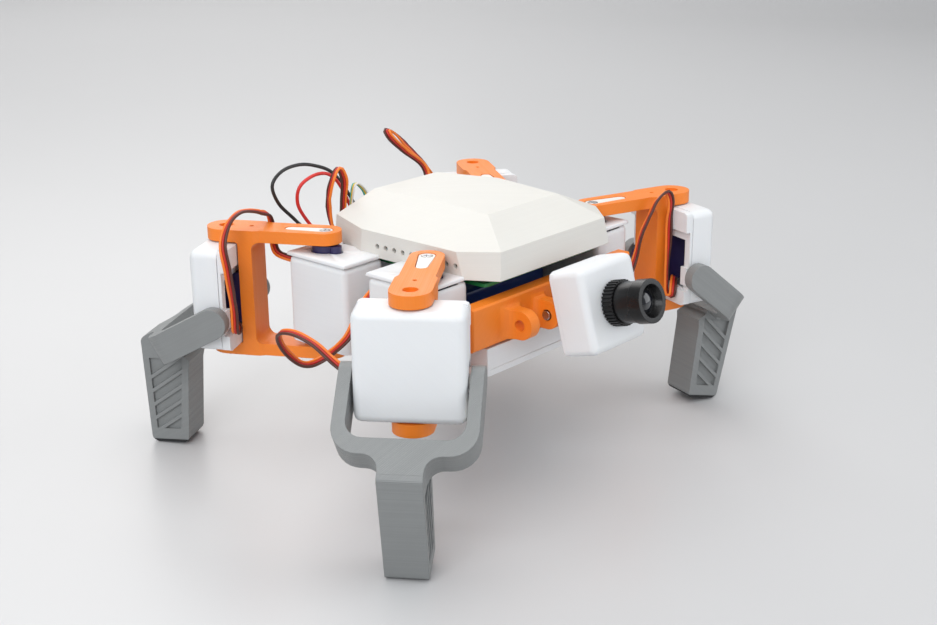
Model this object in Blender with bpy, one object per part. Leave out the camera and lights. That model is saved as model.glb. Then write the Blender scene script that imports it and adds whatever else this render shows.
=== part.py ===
# Four-legged walking robot, eight servos, 3D-printed shell, tilting front camera.
# Front of the robot is -Y, its left side is +X, up is +Z, the floor is z = 0.
import bpy, bmesh, math
from mathutils import Vector, Matrix

for o in list(bpy.data.objects):
    bpy.data.objects.remove(o, do_unlink=True)

MM = 0.001              # metres per millimetre
U = 1.0                 # solids are modelled in millimetres, then scaled to metres

# ---------------- stance ----------------
RIDE_HEIGHT = 106.657    # top-arm plane above the floor at the body centre
STANCE_X, STANCE_Y = -3.849, -1.032   # body centre, so that the footprint is centred on the origin
BODY_PITCH = 2.3         # nose-up lean of the body, degrees
HIP_X = 55.7             # hip axis half track
HIP_Y = 30.0             # hip axis half wheelbase
LEGS = {                 # name: (sign x, sign y, hip yaw, knee angle, output side)
    "fr": (-1, -1, -145.0, 41.134, +1),
    "rr": (-1, +1, 119.0, 28.521, -1),
    "fl": (+1, -1, -19.0, 39.504, +1),
    "rl": (+1, +1, 54.0, 28.812, -1),
}

# ---------------- hip bracket ----------------
ARM_T = 5.4              # arm thickness
ARM_HALF = 7.2           # arm half width
HEAD_HALF = 8.4          # outer head half width
HEAD_R = 45.0            # hip axis to outer hole
POST_IN, POST_OUT = 31.0, 37.2
LOW_TOP, LOW_BOT = -51.7, -57.0
SLOT_END = 18.2          # horn slot tip
KNEE_R, KNEE_Z = 43.8, -37.0

# ---------------- knee box ----------------
BOX_HALF = 22.0
BOX_TOP, BOX_BOT = -6.0, -51.2
BOX_SEAM = 41.6
BOX_OUT = 54.8
FRAME_IN = 37.8

# ---------------- leg fork ----------------
FORK_IN, FORK_OUT = 22.8, 28.0
FORK_H = 6.7             # half height of the fork plate
FORK_A = 27.6            # pivot to inside of the bar
FORK_BAR = 6.6
FORK_B = 44.6            # pivot to bend edge
SHIN_ANG = 63.7          # shin direction below the fork direction
SHIN_LEN = 50.2
SHIN_D0, SHIN_D1 = 22.5, 18.0
SHIN_HALF = 8.7
TOE_R = 3.0
SOLE_T = 1.3

# ---------------- micro servo ----------------
SV_L, SV_W, SV_H = 22.8, 12.2, 22.7
SV_AX = 5.9              # output axis from the case end
SV_FL, SV_FT, SV_FZ = 32.2, 2.5, 15.9
SV_TOW, SV_TOWR = 4.0, 5.9
SV_SPL, SV_SPLR = 3.2, 2.3

# ---------------- chassis ----------------
COX_X0, COX_X1 = 43.6, 67.6
COX_Y1, COX_Y2 = 23.6, 11.8      # towards the centre, towards the end
COX_TOP, COX_BOT = -10.7, -47.9
BASE_Y = 52.4
BASE_BOT = -50.6

# ---------------- camera ----------------
CAM_Y, CAM_Z, CAM_TILT = -83.5, -23.2, 15.0
CAM_W, CAM_H, CAM_D = 36.8, 36.6, 17.0
TILT_Y, TILT_Z = -59.2, -30.0

# =====================================================================
def mat(name, rgb, rough, metal=0.0):
    m = bpy.data.materials.new(name)
    m.use_nodes = True
    b = m.node_tree.nodes["Principled BSDF"]
    b.inputs["Base Color"].default_value = (*rgb, 1)
    b.inputs["Roughness"].default_value = rough
    b.inputs["Metallic"].default_value = metal
    m.diffuse_color = (*rgb, 1)
    return m

def link(o):
    bpy.context.scene.collection.objects.link(o)
    return o

def mesh_obj(name, bm):
    bmesh.ops.recalc_face_normals(bm, faces=bm.faces[:])
    if bm.calc_volume(signed=True) < 0:
        bmesh.ops.reverse_faces(bm, faces=bm.faces[:])
    me = bpy.data.meshes.new(name)
    bm.to_mesh(me)
    bm.free()
    return link(bpy.data.objects.new(name, me))

def prism(name, pts, lo, hi, axis="z"):
    """Closed prism of a 2D outline. axis z: (x,y), y: (x,z), x: (y,z)."""
    bm = bmesh.new()
    def P(a, b, c):
        if axis == "z":
            return Vector((a, b, c)) * U
        if axis == "y":
            return Vector((a, c, b)) * U
        return Vector((c, a, b)) * U
    v0 = [bm.verts.new(P(a, b, lo)) for a, b in pts]
    v1 = [bm.verts.new(P(a, b, hi)) for a, b in pts]
    n = len(pts)
    bm.faces.new(v0)
    bm.faces.new(v1[::-1])
    for i in range(n):
        j = (i + 1) % n
        bm.faces.new((v0[i], v1[i], v1[j], v0[j]))
    return mesh_obj(name, bm)

def box(name, x0, x1, y0, y1, z0, z1, bevel=0.0, seg=2, which="all"):
    bm = bmesh.new()
    bmesh.ops.create_cube(bm, size=1.0)
    for v in bm.verts:
        v.co = Vector(((x0 + x1) / 2 + v.co.x * (x1 - x0), (y0 + y1) / 2 + v.co.y * (y1 - y0),
                       (z0 + z1) / 2 + v.co.z * (z1 - z0))) * U
    if bevel:
        es = []
        for e in bm.edges:
            d = (e.verts[0].co - e.verts[1].co).normalized()
            mid = (e.verts[0].co + e.verts[1].co) / 2 / U
            if which == "all" or (which == "z" and abs(d.z) > 0.9) or (which == "y" and abs(d.y) > 0.9) \
                    or (which == "x" and abs(d.x) > 0.9) \
                    or (which == "notbottom" and mid.z > z0 + 0.01) \
                    or (which == "notback" and mid.y < y1 - 0.01) \
                    or (which == "outx" and mid.x > x0 + 0.01):
                es.append(e)
        bmesh.ops.bevel(bm, geom=es, offset=bevel * U, segments=seg, profile=0.5, affect="EDGES")
    return mesh_obj(name, bm)

def cyl(name, r, lo, hi, axis="z", c=(0, 0), n=24, r2=None):
    r2 = r if r2 is None else r2
    bm = bmesh.new()
    bmesh.ops.create_cone(bm, cap_ends=True, segments=n, radius1=r * U, radius2=r2 * U, depth=(hi - lo) * U)
    for v in bm.verts:
        z = v.co.z + (hi + lo) / 2 * U
        x, y = v.co.x, v.co.y
        if axis == "z":
            v.co = Vector((x + c[0] * U, y + c[1] * U, z))
        elif axis == "y":
            v.co = Vector((x + c[0] * U, z, y + c[1] * U))
        else:
            v.co = Vector((z, x + c[0] * U, y + c[1] * U))
    return mesh_obj(name, bm)

def arc(cx, cy, r, a0, a1, n):
    return [(cx + r * math.cos(math.radians(a0 + (a1 - a0) * i / n)),
             cy + r * math.sin(math.radians(a0 + (a1 - a0) * i / n))) for i in range(n + 1)]

def combine(base, *ops):
    """Apply booleans in order; ops are (kind, object)."""
    for k, (kind, ob) in enumerate(ops):
        ob.hide_render = True
        ob.display_type = "WIRE"
        md = base.modifiers.new(f"{kind}{k}", "BOOLEAN")
        md.operation = kind
        md.solver = "EXACT"
        md.object = ob
    bpy.context.view_layer.update()
    dg = bpy.context.evaluated_depsgraph_get()
    me = bpy.data.meshes.new_from_object(base.evaluated_get(dg))
    bm = bmesh.new()
    bm.from_mesh(me)
    bmesh.ops.remove_doubles(bm, verts=bm.verts[:], dist=2e-3)
    bmesh.ops.dissolve_degenerate(bm, edges=bm.edges[:], dist=1e-3)
    bm.to_mesh(me)
    # merge flat neighbours, two faces at a time, where they share a single edge
    for e in list(bm.edges):
        if not e.is_valid or len(e.link_faces) != 2:
            continue
        f1, f2 = e.link_faces
        if f1 is f2 or f1.normal.angle(f2.normal, 3.0) > math.radians(0.3):
            continue
        if len(set(f1.edges) & set(f2.edges)) != 1 or len(set(f1.verts) & set(f2.verts)) != 2:
            continue
        bmesh.utils.face_join((f1, f2))
    bm.to_mesh(me)
    bm.free()
    name = base.name
    old = base.data
    for _, ob in ops:
        bpy.data.objects.remove(ob, do_unlink=True)
    bpy.data.objects.remove(base, do_unlink=True)
    return link(bpy.data.objects.new(name, me))

def take_mesh(o):
    me = o.data
    me.transform(Matrix.Scale(MM / U, 4))
    bpy.data.objects.remove(o, do_unlink=True)
    return me

def mirror_y(me, name):
    bm = bmesh.new()
    bm.from_mesh(me)
    for v in bm.verts:
        v.co.y = -v.co.y
    bmesh.ops.reverse_faces(bm, faces=bm.faces[:])
    m2 = bpy.data.meshes.new(name)
    bm.to_mesh(m2)
    bm.free()
    return m2

def empty(name, parent=None, loc=(0, 0, 0), rot=(0, 0, 0)):
    e = link(bpy.data.objects.new(name, None))
    e.parent = parent
    e.location = Vector(loc) * MM
    e.rotation_euler = [math.radians(a) for a in rot]
    e.empty_display_size = 0.01
    return e

def place(name, me, material, parent, loc=(0, 0, 0), rot=(0, 0, 0)):
    m = me.copy()
    m.name = name
    m.materials.clear()
    m.materials.append(material)
    o = link(bpy.data.objects.new(name, m))
    o.parent = parent
    o.location = Vector(loc) * MM
    o.rotation_euler = [math.radians(a) for a in rot]
    return o

# ---------------- materials ----------------
M_COVER = ("white_cover", (0.78, 0.76, 0.71), 0.55, 0.0)
M_WHITE = ("white_print", (0.83, 0.85, 0.87), 0.5, 0.0)
M_ORANGE = ("orange_print", (0.88, 0.23, 0.02), 0.45, 0.0)
M_GREY = ("grey_print", (0.21, 0.22, 0.22), 0.5, 0.0)
M_NAVY = ("servo_case", (0.02, 0.016, 0.08), 0.35, 0.0)
M_HORN = ("servo_horn", (0.85, 0.84, 0.8), 0.45, 0.0)
M_STEEL = ("screw_steel", (0.6, 0.6, 0.62), 0.3, 1.0)
M_SOLE = ("sole_rubber", (0.02, 0.02, 0.022), 0.8, 0.0)
M_BLACK = ("lens_black", (0.012, 0.012, 0.013), 0.35, 0.0)
M_PCB = ("circuit_board", (0.01, 0.22, 0.06), 0.4, 0.0)
M_BATT = ("battery_wrap", (0.03, 0.08, 0.35), 0.35, 0.0)
M_CABLE = ("servo_cable", (0.75, 0.14, 0.02), 0.45, 0.0)
M_RED = ("red_wire", (0.6, 0.02, 0.02), 0.4, 0.0)
M_BLKW = ("black_wire", (0.015, 0.015, 0.015), 0.4, 0.0)
M_GLASS = ("lens_glass", (0.02, 0.02, 0.03), 0.05, 0.0)

def own(spec, node):
    n, rgb, r, me = spec
    return mat(f"{n}_{node}", rgb, r, me)

# ---------------- frames ----------------
stance = empty("stance", None, (STANCE_X, STANCE_Y, RIDE_HEIGHT), (-BODY_PITCH, 0, 0))
hips, knees = {}, {}
for k, (sx, sy, yaw, knee, side) in LEGS.items():
    hips[k] = empty("hip_axis_" + k, stance, (sx * HIP_X, sy * HIP_Y, 0), (0, 0, yaw))
    knees[k] = empty("knee_axis_" + k, hips[k], (KNEE_R, 0, KNEE_Z), (0, knee, 0))
tilt = empty("camera_tilt_axis", stance, (0, TILT_Y, TILT_Z))
cam_c = Vector((0, CAM_Y - TILT_Y, CAM_Z - TILT_Z))
cam = empty("camera_face", tilt, cam_c, (-CAM_TILT, 0, 0))

# =====================================================================
# hip bracket (two C frames back to back, one print)
def head_outline(grow=0.0):
    a, h = ARM_HALF + grow, HEAD_HALF + grow
    p = arc(0, 0, a, 90, 270, 12)
    p += [(27.5, -a), (30.0, -h)]
    p += arc(HEAD_R, 0, h, -90, 90, 12)
    p += [(30.0, h), (27.5, a)]
    return p

side = []
f = 3.2
side += [(-9, 0), (56, 0), (56, -ARM_T)]
side += arc(POST_OUT + 1.2, -ARM_T - 1.2, 1.2, 90, 180, 2)
side += arc(POST_OUT + 1.2, LOW_TOP + 1.2, 1.2, 180, 270, 2)
side += [(56, LOW_TOP), (56, LOW_BOT), (-9, LOW_BOT), (-9, LOW_TOP)]
side += arc(POST_IN - f, LOW_TOP + f, f, -90, 0, 4)
side += arc(POST_IN - f, -ARM_T - f, f, 0, 90, 4)
side += [(-9, -ARM_T)]
br = prism("bracket", side, -12, 12, "y")
plan = prism("plan", head_outline(), -60, 3, "z")
slot_pts = arc(0, 0, 3.75, 75, 285, 7) + arc(SLOT_END - 2.7, 0, 2.7, -80, 80, 4)
slot = prism("slot", slot_pts, -2.15, 1, "z")
bore = cyl("bore", 3.75, -8, -1, n=18)
h1 = cyl("h1", 2.1, -8, 2, c=(HEAD_R, 0), n=14)
h1b = cyl("h1b", 3.1, -2.0, 2, c=(HEAD_R, 0), n=14)
h2 = cyl("h2", 3.1, -60, -50, n=18)
h3 = cyl("h3", 2.1, -60, -50, c=(HEAD_R, 0), n=12)
h4 = cyl("h4", 1.0, -2.2, 2, c=(33.4, 0), n=8)
ME_BRACKET = take_mesh(combine(br, ("INTERSECT", plan), ("DIFFERENCE", slot), ("DIFFERENCE", bore),
                               ("DIFFERENCE", h1), ("DIFFERENCE", h1b), ("DIFFERENCE", h2),
                               ("DIFFERENCE", h3), ("DIFFERENCE", h4)))

# nylon horn in the bracket slot
horn_pts = arc(0, 0, 3.45, 75, 285, 7) + arc(SLOT_END - 2.75, 0, 2.35, -80, 80, 4)
hn = prism("horn", horn_pts, -1.95, -0.25, "z")
hub = cyl("hub", 3.3, -5.3, -1.5, n=16)
sb = cyl("sb", SV_SPLR + 0.15, -9, -2.6, n=16)
cb = cyl("cb", 2.5, -1.4, 1, n=14)
th = cyl("th", 1.2, -9, 1, n=10)
ME_HORN = take_mesh(combine(hn, ("UNION", hub), ("DIFFERENCE", sb), ("DIFFERENCE", cb), ("DIFFERENCE", th)))

sc = cyl("sc", 2.3, -1.3, -0.1, n=16)
sh = cyl("sh", 0.9, -6.5, -1.0, n=8)
s1 = box("s1", -1.6, 1.6, -0.3, 0.3, -0.6, 1)
s2 = box("s2", -0.3, 0.3, -1.6, 1.6, -0.6, 1)
ME_SCREW = take_mesh(combine(sc, ("UNION", sh), ("DIFFERENCE", s1), ("DIFFERENCE", s2)))

# micro servo; output axis = z, origin on the axis at the spline tip, case runs along +y
def servo_mesh():
    zt = -SV_SPL - SV_TOW            # case top
    zb = zt - SV_H
    body = box("sv", -SV_W / 2, SV_W / 2, -SV_AX, SV_L - SV_AX, zb, zt)
    fm = SV_L / 2 - SV_AX
    fl = box("fl", -SV_W / 2 + 0.1, SV_W / 2 - 0.1, fm - SV_FL / 2, fm + SV_FL / 2, zb + SV_FZ, zb + SV_FZ + SV_FT)
    tw = cyl("tw", SV_TOWR, zt - 1, zt + SV_TOW, n=18)
    t2 = cyl("t2", 2.7, zt - 1, zt + SV_TOW - 0.1, c=(0, 6.2), n=12)
    sp = cyl("sp", SV_SPLR, zt, 0, n=12)
    pb = cyl("pb", 1.1, -8, 1, n=8)
    e1 = cyl("e1", 1.1, zb + SV_FZ - 2, zb + SV_FZ + SV_FT + 2, c=(0, fm - SV_FL / 2 + 2.2), n=8)
    e2 = cyl("e2", 1.1, zb + SV_FZ - 2, zb + SV_FZ + SV_FT + 2, c=(0, fm + SV_FL / 2 - 2.2), n=8)
    return take_mesh(combine(body, ("UNION", fl), ("UNION", tw), ("UNION", t2), ("UNION", sp),
                             ("DIFFERENCE", pb), ("DIFFERENCE", e1), ("DIFFERENCE", e2)))
ME_SERVO = servo_mesh()

# knee box: outer cover, open towards the post
KB_W = 1.6
kc = box("kc", BOX_SEAM, BOX_OUT, -BOX_HALF, BOX_HALF, BOX_BOT, BOX_TOP, 3.6, 3, "outx")
kci = box("kci", BOX_SEAM - 5, BOX_OUT - 2.0, -BOX_HALF + KB_W, BOX_HALF - KB_W, BOX_BOT + KB_W, BOX_TOP - KB_W, 2.4, 2, "outx")
# half hole for the servo tower on the output side, stub axle on the other
tw = cyl("tw", SV_TOWR + 0.5, 15, 30, "y", c=(KNEE_R, KNEE_Z), n=24)
tw2 = cyl("tw2", 3.3, 15, 30, "y", c=(KNEE_R, KNEE_Z + 6.2), n=16)
stub = box("stub", BOX_SEAM - 8, KNEE_R + 3.5, -30.0, -16.6, KNEE_Z - 4.9, KNEE_Z + 4.9)
ME_KCOVER = {+1: take_mesh(combine(kc, ("DIFFERENCE", kci), ("DIFFERENCE", tw), ("DIFFERENCE", tw2), ("DIFFERENCE", stub)))}

# knee box: inner frame, a deep ring around the servo, with the stub axle
kf = box("kf", FRAME_IN, BOX_SEAM - 0.15, -BOX_HALF + 0.2, BOX_HALF - 0.2, BOX_BOT + 0.2, BOX_TOP - 0.2, 2.0, 2, "x")
sv_lo, sv_hi = -6.2, 17.6                   # servo case across the box
win = box("win", FRAME_IN - 5, BOX_SEAM + 5, -18.2, 20.0, KNEE_Z - SV_AX - 0.4, KNEE_Z + SV_L - SV_AX + 0.4)
fl1 = box("fl1", FRAME_IN - 5, BOX_SEAM + 5, 9.6, 13.3, KNEE_Z - 10.9, KNEE_Z + 21.9)
n1 = box("n1", FRAME_IN - 5, FRAME_IN + 2.3, -30, 30, -44.0, -15.5)
stb = cyl("stb", 2.6, -25.8, -17.0, "y", c=(KNEE_R - 0.2, KNEE_Z), n=20)
pad = box("pad", FRAME_IN + 1.2, KNEE_R + 3.0, -21.5, -17.0, KNEE_Z - 4.4, KNEE_Z + 4.4)
clr = cyl("clr", SV_TOWR + 0.5, 15, 30, "y", c=(KNEE_R, KNEE_Z), n=24)
clr2 = cyl("clr2", 3.3, 15, 30, "y", c=(KNEE_R, KNEE_Z + 6.2), n=16)
ME_KFRAME = {+1: take_mesh(combine(kf, ("DIFFERENCE", win), ("DIFFERENCE", fl1), ("DIFFERENCE", n1),
                                   ("UNION", pad), ("UNION", stb), ("DIFFERENCE", clr), ("DIFFERENCE", clr2)))}

# fork, in its own frame: x out along the arms, y across, pivot at the origin
dl = (math.cos(math.radians(SHIN_ANG)), -math.sin(math.radians(SHIN_ANG)))
nl = (math.sin(math.radians(SHIN_ANG)), math.cos(math.radians(SHIN_ANG)))
E = (FORK_B, FORK_H)
def shin_pt(t, d):
    return (E[0] + dl[0] * t - nl[0] * d, E[1] + dl[1] * t - nl[1] * d)

def fork_outline():
    i, o = FORK_IN, FORK_OUT
    ri, ro, rn = 7.0, 11.0, 6.5
    xb, xo = FORK_A, FORK_A + FORK_BAR
    p = [(-FORK_H, o)]
    p += arc(xo - ro, o - ro, ro, 90, 0, 8)
    p += arc(xo + rn, SHIN_HALF + rn, rn, 180, 270, 6)
    p += [(FORK_B - 2.5, SHIN_HALF)]
    q = [(x, -y) for x, y in reversed(p)]
    inner = [(-FORK_H, -i)] + arc(xb - ri, -i + ri, ri, -90, 0, 6) + arc(xb - ri, i - ri, ri, 0, 90, 6) + [(-FORK_H, i)]
    return p + q + inner

plate = prism("plate", fork_outline(), -FORK_H, FORK_H, "z")
rnd = prism("rnd", arc(0, 0, FORK_H, 90, 270, 12) + [(70, -FORK_H), (70, FORK_H)], -40, 40, "y")
a_split = math.degrees(math.asin((TOE_R - SOLE_T) / TOE_R))
def foot_arcs(lo, hi, shift=0.0):
    """Toe then heel arc between two angles measured from the shin faces to the sole."""
    toe, heel = [], []
    for k in range(5):
        a = math.radians(lo + (hi - lo) * k / 4)
        t = SHIN_LEN - TOE_R + TOE_R * math.sin(a) + shift
        toe.append(shin_pt(t, TOE_R - TOE_R * math.cos(a)))
        heel.append(shin_pt(t, SHIN_D1 - TOE_R + TOE_R * math.cos(a)))
    return toe, heel
toe, heel = foot_arcs(0, a_split)
under = (FORK_A + 4.5, -FORK_H)
shin_pts = [(FORK_A + 6.0, FORK_H - 0.8), (FORK_B - 1.6, FORK_H), (FORK_B - 0.5, FORK_H - 0.35), shin_pt(1.4, 0)] \
    + toe + heel[::-1] + [shin_pt(14.0, SHIN_D0 - 1.0), shin_pt(10.5, SHIN_D0), (FORK_A + 3.4, -FORK_H - 1.2), (FORK_A + 2.0, -FORK_H + 0.6), (FORK_A + 6.0, -2.0)]
shin = prism("shin", shin_pts, -SHIN_HALF, SHIN_HALF, "y")
# pockets on both sides of the shin, split by slanted ribs
def pocket(y0, y1, nm):
    top, bot = 9.5, SHIN_LEN - 6.5
    pk = prism(nm, [shin_pt(top, 3.0), shin_pt(top, 18.8), shin_pt(bot, 14.6), shin_pt(bot, 3.0)], y0, y1, "y")
    ops = []
    for k in range(6):
        t = 4.0 + 6.6 * k
        r = prism(f"{nm}r{k}", [shin_pt(t, 24), shin_pt(t + 1.9, 24), shin_pt(t + 18.9, -2), shin_pt(t + 17.0, -2)], y0 - 1, y1 + 1, "y")
        ops.append(("DIFFERENCE", r))
    return combine(pk, *ops)
pkA = pocket(SHIN_HALF - 1.3, SHIN_HALF + 3, "pkA")
pkB = pocket(-SHIN_HALF - 3, -SHIN_HALF + 1.3, "pkB")
# horn pocket on the output side, blind axle hole on the other
hp_pts = [(x, z) for x, z in (arc(0, 0, 3.8, 75, 285, 8) + arc(SLOT_END - 2.7, 0, 2.7, -80, 80, 6))]
hpk = prism("hpk", hp_pts, 20, 25.3, "y")
axh = cyl("axh", 2.9, -26.3, -20, "y", n=20)
fork = combine(plate, ("INTERSECT", rnd), ("UNION", shin), ("DIFFERENCE", pkA), ("DIFFERENCE", pkB),
               ("DIFFERENCE", hpk), ("DIFFERENCE", axh))
ME_FORK = {+1: take_mesh(fork)}
toe2, heel2 = foot_arcs(a_split, 90, 0.06)
ME_SOLE = take_mesh(prism("sole", toe2 + heel2[::-1], -SHIN_HALF + 0.3, SHIN_HALF - 0.3, "y"))

# knee horn, in the fork frame: bar lies along the arm, hub points at the servo
kh = prism("kh", arc(0, 0, 3.5, 75, 285, 7) + arc(SLOT_END - 2.75, 0, 2.3, -80, 80, 4), 23.1, 25.0, "y")
khub = cyl("khub", 3.3, 21.75, 23.6, "y", n=16)
ksb = cyl("ksb", SV_SPLR + 0.15, 20, 24.4, "y", n=16)
ME_KHORN = {+1: take_mesh(combine(kh, ("UNION", khub), ("DIFFERENCE", ksb)))}
for D in (ME_KCOVER, ME_KFRAME, ME_FORK, ME_KHORN):
    D[-1] = mirror_y(D[+1], D[+1].name + "_m")

# =====================================================================
# chassis: floor plate, four servo boxes, low walls, axle stubs under the boxes
def chassis():
    base = box("chassis", -COX_X0 - 2, COX_X0 + 2, -BASE_Y, BASE_Y, BASE_BOT, BASE_BOT + 2.6, 3.0, 2, "z")
    ops = []
    wall = box("w0", -COX_X0 - 0.6, COX_X0 + 0.6, -BASE_Y + 0.4, BASE_Y - 0.4, BASE_BOT + 1, -38.6)
    inner = box("w1", -COX_X0 + 1.6, COX_X0 - 1.6, -BASE_Y + 2.6, BASE_Y - 2.6, BASE_BOT + 2.6, 0)
    ops += [("UNION", wall)]
    rear = box("w2", -COX_X0 + 4, COX_X0 - 4, BASE_Y - 2.6, BASE_Y - 0.4, BASE_BOT + 1, -16.0)
    ops += [("UNION", rear)]
    sides = box("w3", -COX_X0 - 1.5, COX_X0 + 1.5, -9, 9, BASE_BOT + 1, -21)
    ops += [("UNION", sides)]
    for sx in (-1, 1):
        for sy in (-1, 1):
            x0, x1 = sorted((sx * COX_X0, sx * COX_X1))
            y0, y1 = sorted((sy * (HIP_Y - COX_Y1), sy * (HIP_Y + COX_Y2)))
            b = box(f"cx{sx}{sy}", x0, x1, y0, y1, BASE_BOT + 1.4, COX_TOP, 3.0, 3, "notbottom")
            ops.append(("UNION", b))
            fb = cyl(f"st{sx}{sy}", 5.2, -51.2, -48, c=(sx * HIP_X, sy * HIP_Y), n=24)
            st = cyl(f"sa{sx}{sy}", 2.8, -56.7, -48, c=(sx * HIP_X, sy * HIP_Y), n=24)
            ops += [("UNION", fb), ("UNION", st)]
    # tabs that carry the front panel
    for sx in (-1, 1):
        x0, x1 = sorted((sx * 45.5, sx * 52.5))
        ops.append(("UNION", box(f"tb{sx}", x0, x1, -46.0, -38, -33, -21.5)))
    ops.append(("DIFFERENCE", inner))
    # servo wells
    for sx in (-1, 1):
        for sy in (-1, 1):
            x0, x1 = sx * HIP_X - SV_W / 2 - 0.35, sx * HIP_X + SV_W / 2 + 0.35
            y0, y1 = sorted((sy * (HIP_Y - (SV_L - SV_AX) - 0.4), sy * (HIP_Y + SV_AX + 0.4)))
            ops.append(("DIFFERENCE", box(f"wl{sx}{sy}", x0, x1, y0, y1, -46.0, 5)))
            fm = SV_L / 2 - SV_AX
            y0, y1 = sorted((sy * (HIP_Y - fm - SV_FL / 2 - 0.25), sy * (HIP_Y - fm + SV_FL / 2 + 0.25)))
            ops.append(("DIFFERENCE", box(f"fl{sx}{sy}", x0, x1, y0, y1, -17.6, 5)))
            # cable way from the well into the body
            x0, x1 = sorted((sx * (COX_X0 - 4), sx * HIP_X))
            y0, y1 = sorted((sy * (HIP_Y - 12), sy * (HIP_Y - 16.5)))
            ops.append(("DIFFERENCE", box(f"cw{sx}{sy}", x0, x1, y0, y1, -46.0, -38)))
    return take_mesh(combine(base, *ops))
ME_CHASSIS = chassis()

# top cover: faceted shell
TOP = [(-23.2, -34.5, 11.0), (23.2, -34.5, 11.0), (24.0, 0.0, 12.6), (20.5, 34.5, 10.8), (-20.5, 34.5, 10.8), (-24.0, 0.0, 12.6)]
MID = [(-35.0, -51.7, 0.6), (35.0, -51.7, 0.6), (47.3, -38.0, 1.0), (47.3, 16.0, 1.0), (36.5, 43.0, 0.8), (-36.5, 43.0, 0.8),
       (-47.3, 16.0, 1.0), (-47.3, -38.0, 1.0)]
LOW = [(-37.0, -53.0, -11.2), (37.0, -53.0, -11.2), (47.0, -41.5, -10.3), (47.0, 17.5, -10.3), (37.0, 43.8, -10.3), (-37.0, 43.8, -10.3),
       (-47.0, 17.5, -10.3), (-47.0, -41.5, -10.3)]
def cover_body(off_xy, top_dz, bot_dz, name):
    def sh(p, f=1.0):
        x, y, z = p
        L = math.hypot(x, y)
        return (x - math.copysign(min(off_xy, abs(x)), x) * (1 if abs(x) > 1 else 0), y - (math.copysign(off_xy, y) if abs(y) > 5 else 0), z)
    bm = bmesh.new()
    T = [bm.verts.new(Vector((*sh(p)[:2], p[2] + top_dz)) * U) for p in TOP]
    M = [bm.verts.new(Vector((*sh(p)[:2], p[2] + top_dz * 0.6)) * U) for p in MID]
    B = [bm.verts.new(Vector((*sh(p)[:2], p[2] + bot_dz)) * U) for p in LOW]
    bm.faces.new((T[0], T[1], T[2], T[5]))
    bm.faces.new((T[5], T[2], T[3], T[4]))
    bm.faces.new((M[0], M[1], T[1], T[0]))
    bm.faces.new((M[1], M[2], T[1]))
    bm.faces.new((M[2], M[3], T[2])); bm.faces.new((M[2], T[2], T[1])); bm.faces.new((M[3], T[3], T[2]))
    bm.faces.new((M[3], M[4], T[3]))
    bm.faces.new((M[4], M[5], T[4], T[3]))
    bm.faces.new((M[5], M[6], T[4]))
    bm.faces.new((M[6], M[7], T[5])); bm.faces.new((M[6], T[5], T[4])); bm.faces.new((M[7], T[0], T[5]))
    bm.faces.new((M[7], M[0], T[0]))
    for i in range(8):
        j = (i + 1) % 8
        bm.faces.new((B[i], B[j], M[j], M[i]))
    bm.faces.new(B[::-1])
    return mesh_obj(name, bm)
cv = cover_body(0, 0, 0, "cover")
cvi = cover_body(1.8, -1.8, -3, "cvi")
ops = [("DIFFERENCE", cvi)]
for k in range(10):
    y = -37.5 + 4.95 * k
    ops.append(("DIFFERENCE", cyl(f"v{k}", 1.15, -60, 60, "x", c=(y, -5.2), n=10)))
ME_COVER = take_mesh(combine(cv, *ops))

# front panel with four hinge lugs that flow out of the bar
LUG_R, BAR_F, BAR_B = 6.2, -52.8, -46.3
side_pts = [(BAR_B, -19.2), (BAR_F + 0.8, -19.2), (BAR_F, -20.0), (BAR_F, -21.6), (BAR_F - 0.6, -23.0), (BAR_F - 2.0, -23.8)]
side_pts += arc(TILT_Y, TILT_Z, LUG_R, 90, 270, 16)
side_pts += [(BAR_F - 1.2, TILT_Z - LUG_R), (BAR_F, -36.9), (BAR_F + 0.8, -37.6), (BAR_B, -37.6)]
fp = prism("fp", side_pts, -54.0, 54.0, "x")
plan = [(-54.0, BAR_B + 1), (-54.0, BAR_F + 0.6), (-53.4, BAR_F - 0.01)]
LUG_F = TILT_Y - LUG_R - 0.2
for x0, x1, f0, f1 in ((-32.2, -26.8, 6.0, 3.5), (-14.4, -9.3, 3.5, 1.6), (9.3, 14.4, 1.6, 3.5), (26.8, 32.2, 3.5, 6.0)):
    plan += [(x0 - f0 + f0 * math.sin(math.radians(t)), BAR_F - f0 + f0 * math.cos(math.radians(t))) for t in range(0, 91, 15)]
    plan += [(x0, LUG_F), (x1, LUG_F)]
    plan += [(x1 + f1 - f1 * math.sin(math.radians(t)), BAR_F - f1 + f1 * math.cos(math.radians(t))) for t in range(90, -1, -15)]
plan += [(53.4, BAR_F - 0.01), (54.0, BAR_F + 0.6), (54.0, BAR_B + 1)]
ops = [("INTERSECT", prism("pl", plan, -45, -10, "z")), ("DIFFERENCE", cyl("lh", 2.4, -60, 60, "x", c=(TILT_Y, TILT_Z), n=24))]
ME_PANEL = take_mesh(combine(fp, *ops))

# camera housing: local frame, lens looks along -y, face at y = 0
W2, H2 = CAM_W / 2, CAM_H / 2
ch = box("ch", -W2, W2, 0, CAM_D - 2.0, -H2, H2, 3.4, 3, "notback")
chi = box("chi", -W2 + 1.8, W2 - 1.8, 2.2, CAM_D + 3, -H2 + 1.8, H2 - 1.8)
lh = cyl("lhole", 7.6, -2, 6, "y", n=32)
ME_CHOUSE = take_mesh(combine(ch, ("DIFFERENCE", combine(chi, ("UNION", lh)))))
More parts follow.
